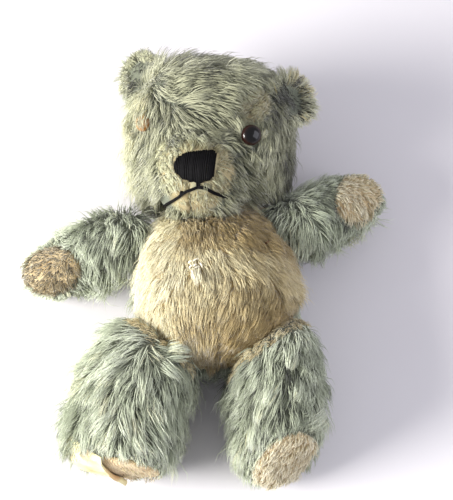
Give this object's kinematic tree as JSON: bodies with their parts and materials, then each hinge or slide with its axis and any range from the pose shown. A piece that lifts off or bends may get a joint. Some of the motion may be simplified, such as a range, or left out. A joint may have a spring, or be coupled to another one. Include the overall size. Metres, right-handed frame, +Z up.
{
  "type": "teddy bear",
  "caption": "Threadbare mohair teddy bear lying on its back, green plush with a cream front, stitched nose and mouth, glass eyes and worn pads.",
  "frame": {"origin": "on the surface the bear lies on, under the middle of its box", "axes": "+Z up out of the bear's front, +Y towards the head, +X towards the bear's own left"},
  "size_m": [0.2594, 0.315, 0.1073],
  "materials": {
    "sage_mohair": "long matted mohair plush, grey green with pale tips, worn thin on the muzzle",
    "cream_mohair": "long cream mohair plush, golden in the folds, darned at the middle",
    "worn_pad_cloth": "short pile worn down to its tan woven backing",
    "patch_cotton": "pale yellow cotton patch with one loose curled edge",
    "black_floss": "black embroidery floss in close satin stitches",
    "amber_glass": "blown glass, amber rim round a black pupil",
    "kapok": "packed plant fibre, not seen"
  },
  "bodies": {
    "root": {"head_gusset": "sage_mohair", "head_side_left": "sage_mohair", "head_side_right": "sage_mohair", "ear_left_front": "sage_mohair", "ear_left_back": "sage_mohair", "ear_right_front": "sage_mohair", "ear_right_back": "sage_mohair", "body_back_left": "sage_mohair", "body_back_right": "sage_mohair", "arm_left_front": "sage_mohair", "arm_left_back": "sage_mohair", "arm_right_front": "sage_mohair", "arm_right_back": "sage_mohair", "leg_left_inner": "sage_mohair", "leg_left_outer": "sage_mohair", "leg_right_inner": "sage_mohair", "leg_right_outer": "sage_mohair", "body_front_left": "cream_mohair", "body_front_right": "cream_mohair", "paw_pad_left": "worn_pad_cloth", "paw_pad_right": "worn_pad_cloth", "foot_pad_left": "worn_pad_cloth", "foot_pad_right": "worn_pad_cloth", "foot_patch_right": "patch_cotton", "nose_stitching": "black_floss", "mouth_stitching": "black_floss", "eye_left": "amber_glass", "eye_right": "amber_glass", "stuffing_head": "kapok", "stuffing_body": "kapok", "stuffing_arm_left": "kapok", "stuffing_arm_right": "kapok", "stuffing_leg_left": "kapok", "stuffing_leg_right": "kapok"}
  },
  "joints": []
}
